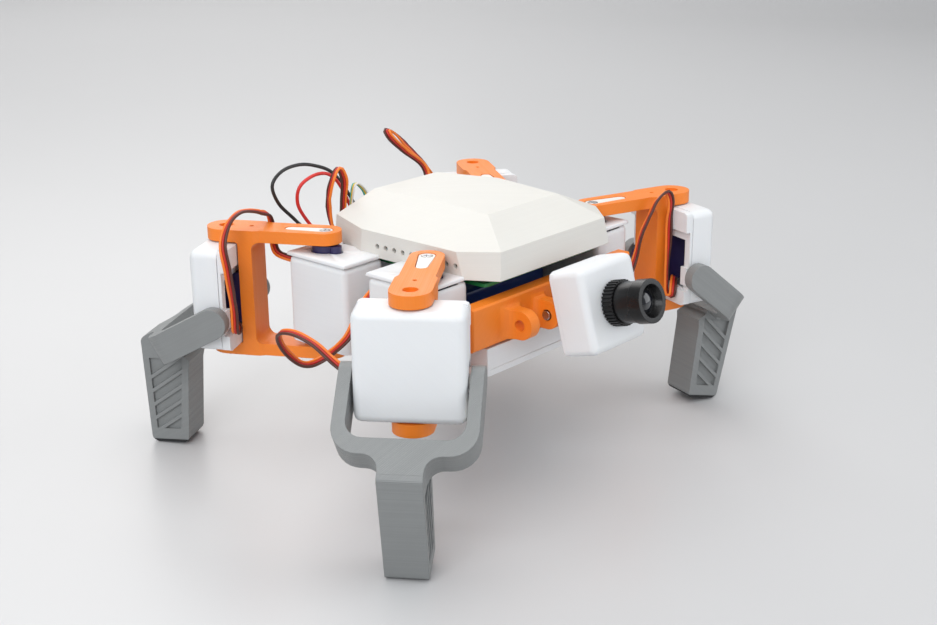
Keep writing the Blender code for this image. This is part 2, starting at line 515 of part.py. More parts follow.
# back plate with hinge knuckle, same local frame
cb_ = box("cbk", -W2 + 0.2, W2 - 0.2, CAM_D - 1.95, CAM_D, -H2 + 0.2, H2 - 0.2, 3.0, 2, "y")
M_loc = Matrix.Rotation(math.radians(CAM_TILT), 4, "X") @ Matrix.Translation(-cam_c)
hinge = M_loc @ Vector((0, 0, 0))           # tilt axis seen from the camera frame
hy, hz = hinge.y, hinge.z
kn = prism("kn", [(CAM_D - 1, hz + 5.2), (CAM_D - 1, hz - 5.2)] + arc(hy, hz, 5.2, -90, 90, 12), -8.9, 8.9, "x")
kb = cyl("kb", 2.25, -30, 30, "x", c=(hy, hz), n=20)
slotw = box("slotw", -4, 4, CAM_D - 5, CAM_D + 5, 4.0, 7.0)
ME_CBACK = take_mesh(combine(cb_, ("UNION", kn), ("DIFFERENCE", kb), ("DIFFERENCE", slotw)))
# sensor board and lens holder
sb1 = box("sb1", -15.5, 15.5, 8.2, 9.8, -15.5, 15.5)
sb2 = box("sb2", -7, 7, 2.6, 8.4, -7, 7, 0.8, 1, "y")
sbh = cyl("sbh", 6.15, -2, 7.4, "y", n=32)
ME_CBOARD = take_mesh(combine(sb1, ("UNION", sb2), ("DIFFERENCE", sbh)))
# knurled lock ring
kpts = []
NK = 36
for i in range(NK):
    a0 = 2 * math.pi * i / NK
    for da, r in ((0.0, 9.7), (0.42, 9.7), (0.5, 9.1), (0.92, 9.1)):
        a = a0 + da * 2 * math.pi / NK
        kpts.append((r * math.cos(a), r * math.sin(a)))
ring = prism("ring", kpts, -5.4, -0.4, "y")
rb = cyl("rb", 6.2, -8, 2, "y", n=32)
ME_RING = take_mesh(combine(ring, ("DIFFERENCE", rb)))
# lens: threaded barrel, body and flared front ring with a recessed front glass
lb = cyl("lb", 5.95, -6.5, 7.0, "y", n=32)
lb2 = cyl("lb2", 8.6, -13.2, -5.7, "y", n=32)
lb3 = cyl("lb3", 9.2, -19.0, -13.0, "y", n=32)
lb4 = cyl("lb4", 7.4, -20.0, -15.4, "y", n=32, r2=5.4)
lb5 = cyl("lb5", 5.2, -18.0, -13.8, "y", n=32)
ME_LENS = take_mesh(combine(lb, ("UNION", lb2), ("UNION", lb3), ("DIFFERENCE", lb4), ("DIFFERENCE", lb5)))
bm = bmesh.new()
prof = [(0.0, -17.4), (1.6, -17.3), (3.0, -16.9), (4.2, -16.2), (5.0, -15.3), (5.0, -14.0), (0.0, -14.0)]
rings = []
for r, y in prof:
    if r == 0.0:
        rings.append([bm.verts.new(Vector((0, y, 0)) * U)])
    else:
        rings.append([bm.verts.new(Vector((r * math.cos(2 * math.pi * k / 24), y, r * math.sin(2 * math.pi * k / 24))) * U) for k in range(24)])
for a, b in zip(rings, rings[1:]):
    for k in range(24):
        j = (k + 1) % 24
        if len(a) == 1:
            bm.faces.new((a[0], b[k], b[j]))
        elif len(b) == 1:
            bm.faces.new((a[k], b[0], a[j]))
        else:
            bm.faces.new((a[k], b[k], b[j], a[j]))
ME_GLASS = take_mesh(mesh_obj("glass", bm))
ME_TPIN = take_mesh(cyl("tpin", 2.0, -15.2, 15.2, "x", n=20))

# controller board and battery
pcb = box("pcb", -38.0, 38.0, -45.5, 42.0, -15.2, -13.6, 2.0, 2, "z")
c1 = box("c1", -12, 12, -10, 10, -13.8, -10.0)
c2 = box("c2", -30, -22, -30, 30, -13.8, -5.2)
c3 = box("c3", 24, 34, -44.5, -35.5, -13.8, -10.4)
ME_PCB = take_mesh(combine(pcb, ("UNION", c1), ("UNION", c2), ("UNION", c3)))
ME_BATT = take_mesh(box("batt", -35.5, 35.5, -17.5, 17.5, -47.6, -28.0, 3.0, 2, "x"))

# =====================================================================
# assembly
place("chassis_base", ME_CHASSIS, own(M_WHITE, "chassis_base"), stance)
place("top_cover", ME_COVER, own(M_COVER, "top_cover"), stance)
place("front_panel", ME_PANEL, own(M_ORANGE, "front_panel"), stance)
place("controller_board", ME_PCB, own(M_PCB, "controller_board"), stance)
place("battery_pack", ME_BATT, own(M_BATT, "battery_pack"), stance)
for k, (sx, sy, yaw, knee, s) in LEGS.items():
    place(f"hip_servo_{k}", ME_SERVO, own(M_NAVY, f"hip_servo_{k}"), stance,
          (sx * HIP_X, sy * HIP_Y, -2.8), (0, 0, 0 if sy < 0 else 180))
    h, kn_ = hips[k], knees[k]
    place(f"hip_bracket_{k}", ME_BRACKET, own(M_ORANGE, f"hip_bracket_{k}"), h)
    place(f"hip_horn_{k}", ME_HORN, own(M_HORN, f"hip_horn_{k}"), h)
    place(f"hip_horn_screw_{k}", ME_SCREW, own(M_STEEL, f"hip_horn_screw_{k}"), h)
    place(f"knee_box_cover_{k}", ME_KCOVER[s], own(M_WHITE, f"knee_box_cover_{k}"), h)
    place(f"knee_box_frame_{k}", ME_KFRAME[s], own(M_WHITE, f"knee_box_frame_{k}"), h)
    # servo on its side: output along s*y, case running up from the knee axis
    place(f"knee_servo_{k}", ME_SERVO, own(M_NAVY, f"knee_servo_{k}"), h,
          (KNEE_R, s * 24.2, KNEE_Z), (90, 0, 180) if s > 0 else (90, 0, 0))
    place(f"knee_horn_{k}", ME_KHORN[s], own(M_HORN, f"knee_horn_{k}"), kn_)
    place(f"leg_fork_{k}", ME_FORK[s], own(M_GREY, f"leg_fork_{k}"), kn_)
    place(f"foot_sole_{k}", ME_SOLE, own(M_SOLE, f"foot_sole_{k}"), kn_)
place("camera_housing", ME_CHOUSE, own(M_WHITE, "camera_housing"), cam)
place("camera_back", ME_CBACK, own(M_WHITE, "camera_back"), cam)
place("camera_board", ME_CBOARD, own(M_PCB, "camera_board"), cam)
place("lens_lock_ring", ME_RING, own(M_BLACK, "lens_lock_ring"), cam)
place("lens_barrel", ME_LENS, own(M_BLACK, "lens_barrel"), cam)
place("lens_glass", ME_GLASS, own(M_GLASS, "lens_glass"), cam)
place("camera_tilt_pin", ME_TPIN, own(M_STEEL, "camera_tilt_pin"), tilt)

# ---------------- cables ----------------
def in_hip(k, x, y, z):
    sx, sy, yaw, _, _ = LEGS[k]
    a = math.radians(yaw)
    return (sx * HIP_X + math.cos(a) * x - math.sin(a) * y, sy * HIP_Y + math.sin(a) * x + math.cos(a) * y, z)

def smooth(pts, step):
    """Catmull-Rom through the key points, resampled at an even spacing."""
    P = [Vector(p) for p in pts]
    P = [P[0] * 2 - P[1]] + P + [P[-1] * 2 - P[-2]]
    fine = []
    for i in range(1, len(P) - 2):
        p0, p1, p2, p3 = P[i - 1], P[i], P[i + 1], P[i + 2]
        d = [max((b - a).length, 1e-6) ** 0.5 for a, b in ((p0, p1), (p1, p2), (p2, p3))]
        t0, t1 = 0.0, d[0]
        t2, t3 = t1 + d[1], t1 + d[1] + d[2]
        for k in range(24):
            t = t1 + (t2 - t1) * k / 24
            a1 = p0 * ((t1 - t) / (t1 - t0)) + p1 * ((t - t0) / (t1 - t0))
            a2 = p1 * ((t2 - t) / (t2 - t1)) + p2 * ((t - t1) / (t2 - t1))
            a3 = p2 * ((t3 - t) / (t3 - t2)) + p3 * ((t - t2) / (t3 - t2))
            b1 = a1 * ((t2 - t) / (t2 - t0)) + a2 * ((t - t0) / (t2 - t0))
            b2 = a2 * ((t3 - t) / (t3 - t1)) + a3 * ((t - t1) / (t3 - t1))
            fine.append(b1 * ((t2 - t) / (t2 - t1)) + b2 * ((t - t1) / (t2 - t1)))
    fine.append(P[-2])
    acc = [0.0]
    for a, b in zip(fine, fine[1:]):
        acc.append(acc[-1] + (b - a).length)
    n = max(int(round(acc[-1] / step)), 6)
    out, j = [], 0
    for i in range(n + 1):
        s = acc[-1] * i / n
        while j < len(acc) - 2 and acc[j + 1] < s:
            j += 1
        f = (s - acc[j]) / max(acc[j + 1] - acc[j], 1e-9)
        out.append(fine[j].lerp(fine[j + 1], min(max(f, 0.0), 1.0)))
    return out

def cable(name, keys, radius, material, step):
    cu = bpy.data.curves.new(name, "CURVE")
    cu.dimensions = "3D"
    cu.bevel_depth = radius * MM
    cu.bevel_resolution = 1
    cu.use_fill_caps = True
    pts = smooth(keys, step)
    sp = cu.splines.new("POLY")
    sp.points.add(len(pts) - 1)
    for p, q in zip(sp.points, pts):
        p.co = (*(q * MM), 1)
    cu.materials.append(material)
    o = link(bpy.data.objects.new(name, cu))
    o.parent = stance
    return o

RIBBON_R, WIRE_R = 1.3, 0.8
H = in_hip
CABLES = {
    "knee_cable_rr": ([H("rr", 43.0, 7.4, -41.0), H("rr", 39.6, 11.8, -40.4), H("rr", 35.5, 16.4, -41.4), H("rr", 34.6, 22.6, -41.5),
                       H("rr", 34.4, 23.4, -31.0), H("rr", 35.8, 24.2, -14.0), H("rr", 38.0, 22.2, -2.2), H("rr", 37.0, 16.5, 5.5),
                       H("rr", 34.0, 12.0, 9.0), H("rr", 31.0, 6.0, 8.4), H("rr", 29.0, -2.0, 5.6), H("rr", 28.6, -8.4, 3.2),
                       H("rr", 28.4, -11.2, -1.5), H("rr", 28.0, -10.8, -8.5), H("rr", 25.5, -8.2, -13.8), H("rr", 19.5, -6.5, -15.5),
                       (-51.0, 46.4, -18.4), (-45.0, 45.2, -22.0), (-40.6, 43.2, -27.5), (-38.0, 40.0, -34.0)], RIBBON_R),
    "knee_cable_fr": ([H("fr", 43.0, -7.4, -41.0), H("fr", 39.6, -11.8, -40.3), H("fr", 35.5, -16.4, -41.2), H("fr", 34.4, -24.0, -40.0),
                       H("fr", 33.4, -32.0, -35.0), H("fr", 31.0, -41.0, -28.0), H("fr", 27.5, -50.0, -25.0), H("fr", 22.0, -57.0, -27.5),
                       H("fr", 14.0, -57.5, -37.0), H("fr", 6.0, -52.0, -46.5), H("fr", -1.0, -47.5, -48.0), (-73.0, 0.6, -38.0),
                       (-64.0, 0.2, -26.0), (-54.0, 0.0, -19.5), (-45.0, 0.0, -18.2), (-37.0, 0.0, -20.0)], RIBBON_R),
    "knee_cable_fl": ([H("fl", 43.0, -7.4, -41.0), H("fl", 39.6, -11.4, -40.3), H("fl", 36.2, -15.4, -43.2), H("fl", 35.0, -16.2, -46.6), H("fl", 34.4, -13.8, -47.0),
                       H("fl", 34.8, -11.9, -37.0), H("fl", 35.8, -11.2, -22.0), H("fl", 35.7, -11.2, -10.0), H("fl", 36.0, -11.6, -1.4),
                       H("fl", 33.5, -11.8, 2.6), H("fl", 28.0, -11.6, -0.6), H("fl", 24.0, -11.4, -7.5), H("fl", 20.2, -10.6, -16.0),
                       H("fl", 17.6, -10.0, -27.0), (64.0, -45.2, -34.0), (55.0, -44.1, -36.0), (46.0, -44.1, -36.2), (37.0, -43.0, -38.0)], RIBBON_R),
    "knee_cable_rl": ([H("rl", 43.0, 7.4, -41.0), H("rl", 39.6, 11.8, -40.3), H("rl", 35.5, 16.4, -41.4), H("rl", 34.4, 23.0, -40.0),
                       H("rl", 34.0, 25.0, -28.0), (52.0, 66.0, -10.0), (44.0, 61.0, 3.0), (30.5, 61.5, 16.5), (20.0, 62.0, 26.0),
                       (14.8, 61.2, 28.0), (15.2, 59.4, 25.0), (24.0, 58.4, 17.0), (35.5, 56.5, 7.0), (34.0, 52.0, -5.0), (30.0, 47.2, -14.0), (26.0, 45.6, -21.0)], RIBBON_R),
    "servo_lead_rear": ([(-27.0, 46.2, -21.0), (-27.6, 46.8, -12.0), (-27.4, 48.6, -4.0), (-26.6, 48.6, 5.0), (-27.6, 46.6, 14.5), (-31.6, 46.0, 20.4),
                         (-35.0, 47.6, 13.0), (-34.6, 50.0, 4.0), (-34.0, 49.4, -5.0), (-32.6, 46.8, -13.0), (-31.8, 46.2, -21.0)], RIBBON_R),
    "power_wire_red": ([(-18.6, 46.4, -21.0), (-18.8, 47.2, -12.0), (-20.6, 52.0, 2.0), (-25.6, 54.0, 12.5), (-31.5, 54.2, 16.6), (-40.0, 54.4, 16.8),
                        (-47.0, 55.0, 13.0), (-47.4, 56.2, 5.5), (-42.0, 54.6, -5.0), (-37.4, 47.6, -14.0), (-36.6, 46.2, -21.0)], WIRE_R),
    "power_wire_black": ([(-14.6, 46.4, -21.0), (-14.8, 47.4, -12.0), (-17.0, 55.0, 4.0), (-24.0, 58.0, 15.0), (-34.0, 58.2, 20.0), (-44.0, 58.4, 22.2),
                          (-54.6, 58.2, 20.8), (-59.8, 58.2, 16.0), (-57.0, 58.2, 7.5), (-49.0, 57.0, -1.5), (-42.5, 50.0, -12.0), (-39.6, 46.4, -21.0)], WIRE_R),
    "sensor_lead": ([(-8.0, 46.2, -21.0), (-8.2, 47.0, -11.0), (-11.0, 47.6, -1.0), (-16.5, 46.2, 8.0), (-22.6, 45.2, 11.6), (-23.6, 46.6, 4.0),
                     (-22.8, 47.6, -5.0), (-22.6, 46.8, -13.0), (-22.4, 46.2, -21.0)], 1.0),
}
CAB_MAT = {"power_wire_red": M_RED, "power_wire_black": M_BLKW}
for nm, (keys, r) in CABLES.items():
    cable(nm, keys, r, own(CAB_MAT.get(nm, M_CABLE), nm), 2.6 if r > 1.2 else 2.2)

for me in list(bpy.data.meshes):
    if me.users == 0:
        bpy.data.meshes.remove(me)
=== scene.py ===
import math, random
import bpy, bmesh
from mathutils import Vector, Matrix


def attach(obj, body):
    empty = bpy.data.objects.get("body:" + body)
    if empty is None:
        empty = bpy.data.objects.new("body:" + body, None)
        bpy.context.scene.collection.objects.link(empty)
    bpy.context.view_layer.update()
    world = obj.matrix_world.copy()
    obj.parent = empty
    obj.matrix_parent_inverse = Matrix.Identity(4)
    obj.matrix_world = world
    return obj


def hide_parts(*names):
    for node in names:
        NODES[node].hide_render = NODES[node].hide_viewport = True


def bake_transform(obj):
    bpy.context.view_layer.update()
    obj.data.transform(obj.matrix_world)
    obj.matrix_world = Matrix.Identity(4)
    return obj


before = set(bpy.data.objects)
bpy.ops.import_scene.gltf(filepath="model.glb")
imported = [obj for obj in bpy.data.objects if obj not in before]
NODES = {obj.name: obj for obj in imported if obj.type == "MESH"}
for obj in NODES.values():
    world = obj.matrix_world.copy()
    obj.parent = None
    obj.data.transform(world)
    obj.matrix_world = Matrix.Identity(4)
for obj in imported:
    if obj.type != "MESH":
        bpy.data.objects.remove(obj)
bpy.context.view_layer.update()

scene = bpy.context.scene
scene.view_settings.view_transform = "Standard"
MM = 0.001

# =====================================================================
# frames of the robot, in the row frame
def T(x, y, z):
    return Matrix.Translation(Vector((x, y, z)) * MM)

def R(axis, deg):
    return Matrix.Rotation(math.radians(deg), 4, axis)

LEGS = {
    "fr": (-1, -1, -145.0, 41.134, +1),
    "rr": (-1, +1, 119.0, 28.521, -1),
    "fl": (+1, -1, -19.0, 39.504, +1),
    "rl": (+1, +1, 54.0, 28.812, -1),
}
HIP_X, HIP_Y = 55.7, 30.0
STANCE = T(-3.849, -1.032, 106.657) @ R("X", -2.3)
HIP, KNEE = {}, {}
for k, (sx, sy, yaw, knee, s) in LEGS.items():
    HIP[k] = STANCE @ T(sx * HIP_X, sy * HIP_Y, 0) @ R("Z", yaw)
    KNEE[k] = HIP[k] @ T(43.8, 0, -37.0) @ R("Y", knee)
TILT = STANCE @ T(0, -59.2, -30.0)
CAM = TILT @ T(0, -24.3, 6.8) @ R("X", -15.0)

# =====================================================================
# camera, floor and light
cam_data = bpy.data.cameras.new("camera")
cam_data.lens = 54.372
cam_data.sensor_width = 36.0
cam_data.clip_start, cam_data.clip_end = 0.02, 20
cam = bpy.data.objects.new("camera", cam_data)
scene.collection.objects.link(cam)
right = Vector((0.661492, -0.749639, 0.021687))
up = Vector((0.248459, 0.246345, 0.936793))
fwd = Vector((0.707599, 0.614293, -0.34921))
m = Matrix.Identity(4)
for i in range(3):
    m[i][0], m[i][1], m[i][2] = right[i], up[i], -fwd[i]
m.translation = Vector((-458.065, -399.783, 285.855)) * MM
cam.matrix_world = m
scene.camera = cam

def link(o):
    scene.collection.objects.link(o)
    return o

# =====================================================================
# node helpers
class G:
    """A small helper to lay out a node graph."""
    def __init__(self, name):
        self.m = bpy.data.materials.new(name)
        self.m.use_nodes = True
        self.t = self.m.node_tree
        self.b = self.t.nodes["Principled BSDF"]
        self.c = self.t.nodes.new("ShaderNodeTexCoord")
    def n(self, kind, **kw):
        nd = self.t.nodes.new(kind)
        for a, v in kw.items():
            setattr(nd, a, v)
        return nd
    def put(self, sock, v):
        if isinstance(v, bpy.types.NodeSocket):
            self.t.links.new(v, sock)
        else:
            sock.default_value = v
    def math(self, op, a, b=None, c=None, clamp=False):
        nd = self.n("ShaderNodeMath", operation=op, use_clamp=clamp)
        self.put(nd.inputs[0], a)
        if b is not None:
            self.put(nd.inputs[1], b)
        if c is not None:
            self.put(nd.inputs[2], c)
        return nd.outputs[0]
    def dot(self, vec, d):
        nd = self.n("ShaderNodeVectorMath", operation="DOT_PRODUCT")
        self.put(nd.inputs[0], vec)
        nd.inputs[1].default_value = d
        return nd.outputs["Value"]
    def noise(self, scale, detail=2.0, rough=0.5, vec=None, out="Fac"):
        nd = self.n("ShaderNodeTexNoise")
        self.put(nd.inputs["Vector"], vec if vec is not None else self.c.outputs["Object"])
        nd.inputs["Scale"].default_value = scale
        nd.inputs["Detail"].default_value = detail
        nd.inputs["Roughness"].default_value = rough
        return nd.outputs[out]
    def ramp(self, fac, stops):
        nd = self.n("ShaderNodeValToRGB")
        self.put(nd.inputs[0], fac)
        cr = nd.color_ramp
        while len(cr.elements) < len(stops):
            cr.elements.new(0.5)
        for e, (p, col) in zip(cr.elements, stops):
            e.position = p
            e.color = (*col, 1) if len(col) == 3 else col
        return nd.outputs[0]
    def mix(self, fac, a, b, blend="MIX"):
        nd = self.n("ShaderNodeMix", data_type="RGBA", blend_type=blend)
        self.put(nd.inputs[0], fac)
        self.put(nd.inputs[6], a)
        self.put(nd.inputs[7], b)
        return nd.outputs[2]
    def mixf(self, fac, a, b):
        nd = self.n("ShaderNodeMix", data_type="FLOAT")
        self.put(nd.inputs[0], fac)
        self.put(nd.inputs[2], a)
        self.put(nd.inputs[3], b)
        return nd.outputs[0]
    def range(self, v, a, b, c, d):
        nd = self.n("ShaderNodeMapRange")
        self.put(nd.inputs[0], v)
        for i, x in enumerate((a, b, c, d)):
            nd.inputs[i + 1].default_value = x
        return nd.outputs[0]
    def bump(self, height, strength, dist, normal=None):
        nd = self.n("ShaderNodeBump")
        nd.inputs["Strength"].default_value = strength
        nd.inputs["Distance"].default_value = dist
        self.put(nd.inputs["Height"], height)
        if normal is not None:
            self.put(nd.inputs["Normal"], normal)
        return nd.outputs[0]

def col4(c):
    return (c[0], c[1], c[2], 1.0)

def shade(c, f):
    return tuple(min(1.0, x * f) for x in c)

def printed(name, rgb, M, axis, pitch=0.3, rough=0.5, line=0.35, skin=True, tint=0.05, spec=0.5, fill_deg=45.0, fill_pitch=0.5,
            fill=0.5, warm=None, sub=0.0, rnd=0.00035):
    """3D-printed plastic: layer lines stacked along a local axis, raster lines on the faces that lie flat in a layer."""
    g = G(name)
    P, N = g.c.outputs["Object"], g.c.outputs["Normal"]
    A = (M.to_3x3() @ Vector({"x": (1, 0, 0), "y": (0, 1, 0), "z": (0, 0, 1)}[axis])).normalized()
    U0 = (M.to_3x3() @ Vector({"x": (0, 1, 0), "y": (1, 0, 0), "z": (1, 0, 0)}[axis])).normalized()
    V0 = A.cross(U0).normalized()
    F = (U0 * math.cos(math.radians(fill_deg)) + V0 * math.sin(math.radians(fill_deg))).normalized()
    wob = g.math("MULTIPLY", g.math("SUBTRACT", g.noise(55, 2), 0.5), 0.00016)
    h = g.math("ADD", g.dot(P, A), wob)
    lay = g.math("MULTIPLY", h, 1.0 / (pitch * MM))
    ridge = g.math("ABSOLUTE", g.math("SINE", g.math("MULTIPLY", lay, math.pi)))
    wn = g.n("ShaderNodeTexWhiteNoise", noise_dimensions="1D")
    g.put(wn.inputs["W"], g.math("FLOOR", lay))
    band = wn.outputs["Value"]
    f = g.math("MULTIPLY", g.math("ADD", g.dot(P, F), wob), 1.0 / (fill_pitch * MM))
    rast = g.math("ABSOLUTE", g.math("SINE", g.math("MULTIPLY", f, math.pi)))
    wn2 = g.n("ShaderNodeTexWhiteNoise", noise_dimensions="1D")
    g.put(wn2.inputs["W"], g.math("FLOOR", f))
    flat = g.range(g.math("ABSOLUTE", g.dot(N, A)), 0.80, 0.96, 0.0, 1.0)
    pat = g.mixf(flat, ridge, g.mixf(1.0 - fill, rast, 0.5) if skin else 0.5)
    var = g.mixf(flat, band, wn2.outputs["Value"])
    big = g.noise(38, 3, 0.55)
    fine = g.noise(2600, 2, 0.6)
    # colour: slow mottling, each layer a shade apart, painted shade darkening the layer grooves
    c0 = g.mix(big, col4(shade(rgb, 1.0 - tint)), col4(shade(warm or rgb, 1.0 + tint)))
    c1 = g.mix(g.math("MULTIPLY", var, 0.35), c0, col4(shade(rgb, 1.0 - 1.6 * tint)))
    # painted shade: the base colour is darkened in the layer grooves, standing in for shade in those recesses
    groove_painted_shade = g.math("MULTIPLY", g.math("SUBTRACT", 1.0, pat), line * 0.30, clamp=True)
    c2 = g.mix(groove_painted_shade, c1, col4(shade(rgb, 0.62)))
    g.put(g.b.inputs["Base Color"], c2)
    r = g.math("ADD", g.math("MULTIPLY", g.math("SUBTRACT", big, 0.5), 0.22), rough)
    r = g.math("ADD", r, g.math("MULTIPLY", g.math("SUBTRACT", var, 0.5), 0.10), clamp=True)
    g.put(g.b.inputs["Roughness"], r)
    bev = g.n("ShaderNodeBevel", samples=4)
    bev.inputs["Radius"].default_value = rnd
    n1 = g.bump(pat, line, pitch * MM * 0.28, bev.outputs[0])
    n2 = g.bump(fine, 0.12, 0.00004, n1)
    g.put(g.b.inputs["Normal"], n2)
    g.b.inputs["Specular IOR Level"].default_value = spec
    if sub:
        g.b.inputs["Subsurface Weight"].default_value = sub
        g.b.inputs["Subsurface Radius"].default_value = (0.9, 0.75, 0.6)
        g.b.inputs["Subsurface Scale"].default_value = 0.0012
    return g.m

def moulded(name, rgb, rough=0.35, speck=900.0, bump=0.12, tint=0.08, coat=0.0, metal=0.0, spec=0.5, dist=0.00003, rnd=0.0003):
    """Injection moulded or machined part: fine grain, smudged gloss."""
    g = G(name)
    big, fine = g.noise(70, 3, 0.6), g.noise(speck, 2, 0.6)
    g.put(g.b.inputs["Base Color"], g.mix(big, col4(shade(rgb, 1 - tint)), col4(shade(rgb, 1 + tint))))
    g.put(g.b.inputs["Roughness"], g.math("ADD", g.math("MULTIPLY", g.math("SUBTRACT", big, 0.5), 0.2), rough, clamp=True))
    bev = g.n("ShaderNodeBevel", samples=4)
    bev.inputs["Radius"].default_value = rnd
    g.put(g.b.inputs["Normal"], g.bump(fine, bump, dist, bev.outputs[0]))
    g.b.inputs["Metallic"].default_value = metal
    g.b.inputs["Specular IOR Level"].default_value = spec
    g.b.inputs["Coat Weight"].default_value = coat
    g.b.inputs["Coat Roughness"].default_value = 0.12
    return g.m

WHITE = (0.80, 0.815, 0.83)
COVER = (0.72, 0.705, 0.665)
ORANGE = (0.91, 0.235, 0.018)
GREY = (0.262, 0.272, 0.272)

def dress(node, material, bevel=0.0, seg=2, angle=35.0, weld=True, smooth=35.0):
    """Puts a finished material on a CAD node, and eases its sharp edges."""
    o = NODES[node]
    o.data.materials.clear()
    o.data.materials.append(material)
    if "custom_normal" in o.data.attributes:
        o.data.attributes.remove(o.data.attributes["custom_normal"])
    o.data.shade_smooth()
    if weld:
        w = o.modifiers.new("weld", "WELD")
        w.merge_threshold = 0.00001
    if True:
        b = o.modifiers.new("ease", "BEVEL")
        b.width = max(bevel, 0.10) * MM
        b.segments = seg if bevel else 1
        b.limit_method = "ANGLE"
        b.angle_limit = math.radians(angle)
        b.use_clamp_overlap = True
        b.harden_normals = False
        es = o.modifiers.new("keep", "EDGE_SPLIT")
        es.split_angle = math.radians(46)
        es.use_edge_sharp = False
        wn = o.modifiers.new("shade", "WEIGHTED_NORMAL")
        wn.keep_sharp = True
        wn.weight = 50
    return o

# =====================================================================
# mesh helpers for the finer pieces
def obj_from(bm, name, material, smooth_deg=40.0):
    bmesh.ops.recalc_face_normals(bm, faces=bm.faces[:])
    if bm.calc_volume(signed=True) < 0:
        bmesh.ops.reverse_faces(bm, faces=bm.faces[:])
    me = bpy.data.meshes.new(name)
    bm.to_mesh(me)
    bm.free()
    me.materials.append(material)
    o = link(bpy.data.objects.new(name, me))
    me.shade_smooth()
    me.set_sharp_from_angle(angle=math.radians(smooth_deg))
    return o

def lathe(name, prof, M, material, n=96, wob=None, smooth_deg=40.0):
    """Turned piece about the local y axis. prof: (r, y) in mm, closed when it starts and ends on the axis or repeats its first point."""
    bm = bmesh.new()
    rings = []
    closed = prof[0] == prof[-1]
    pr = prof[:-1] if closed else prof
    for r, y in pr:
        if r <= 1e-6:
            rings.append([bm.verts.new(M @ (Vector((0, y, 0)) * MM))])
        else:
            rg = []
            for i in range(n):
                a = 2 * math.pi * i / n
                rr = r + (wob(i, n, r, y) if wob else 0.0)
                rg.append(bm.verts.new(M @ (Vector((rr * math.cos(a), y, rr * math.sin(a))) * MM)))
            rings.append(rg)
    pairs = list(zip(rings, rings[1:])) + ([(rings[-1], rings[0])] if closed else [])
    for a, b in pairs:
        for i in range(n):
            j = (i + 1) % n
            if len(a) == 1 and len(b) == 1:
                break
            if len(a) == 1:
                bm.faces.new((a[0], b[i], b[j]))
            elif len(b) == 1:
                bm.faces.new((a[i], b[0], a[j]))
            else:
                bm.faces.new((a[i], b[i], b[j], a[j]))
    return obj_from(bm, name, material, smooth_deg)

# =====================================================================
# cords: the flat three-wire servo leads and the thin wires
def in_hip(k, x, y, z):
    sx, sy, yaw, _, _ = LEGS[k]
    a = math.radians(yaw)
    return (sx * HIP_X + math.cos(a) * x - math.sin(a) * y, sy * HIP_Y + math.sin(a) * x + math.cos(a) * y, z)

def smooth_path(pts, step):
    """Catmull-Rom through the key points, resampled at an even spacing."""
    P = [Vector(p) for p in pts]
    P = [P[0] * 2 - P[1]] + P + [P[-1] * 2 - P[-2]]
    fine = []
    for i in range(1, len(P) - 2):
        p0, p1, p2, p3 = P[i - 1], P[i], P[i + 1], P[i + 2]
        d = [max((b - a).length, 1e-6) ** 0.5 for a, b in ((p0, p1), (p1, p2), (p2, p3))]
        t0, t1 = 0.0, d[0]
        t2, t3 = t1 + d[1], t1 + d[1] + d[2]
        for q in range(24):
            t = t1 + (t2 - t1) * q / 24
            a1 = p0 * ((t1 - t) / (t1 - t0)) + p1 * ((t - t0) / (t1 - t0))
            a2 = p1 * ((t2 - t) / (t2 - t1)) + p2 * ((t - t1) / (t2 - t1))
            a3 = p2 * ((t3 - t) / (t3 - t2)) + p3 * ((t - t2) / (t3 - t2))
            b1 = a1 * ((t2 - t) / (t2 - t0)) + a2 * ((t - t0) / (t2 - t0))
            b2 = a2 * ((t3 - t) / (t3 - t1)) + a3 * ((t - t1) / (t3 - t1))
            fine.append(b1 * ((t2 - t) / (t2 - t1)) + b2 * ((t - t1) / (t2 - t1)))
    fine.append(P[-2])
    acc = [0.0]
    for a, b in zip(fine, fine[1:]):
        acc.append(acc[-1] + (b - a).length)
    n = max(int(round(acc[-1] / step)), 6)
    out, j = [], 0
    for i in range(n + 1):
        s = acc[-1] * i / n
        while j < len(acc) - 2 and acc[j + 1] < s:
            j += 1
        f = (s - acc[j]) / max(acc[j + 1] - acc[j], 1e-9)
        out.append(fine[j].lerp(fine[j + 1], min(max(f, 0.0), 1.0)))
    return out, acc[-1]

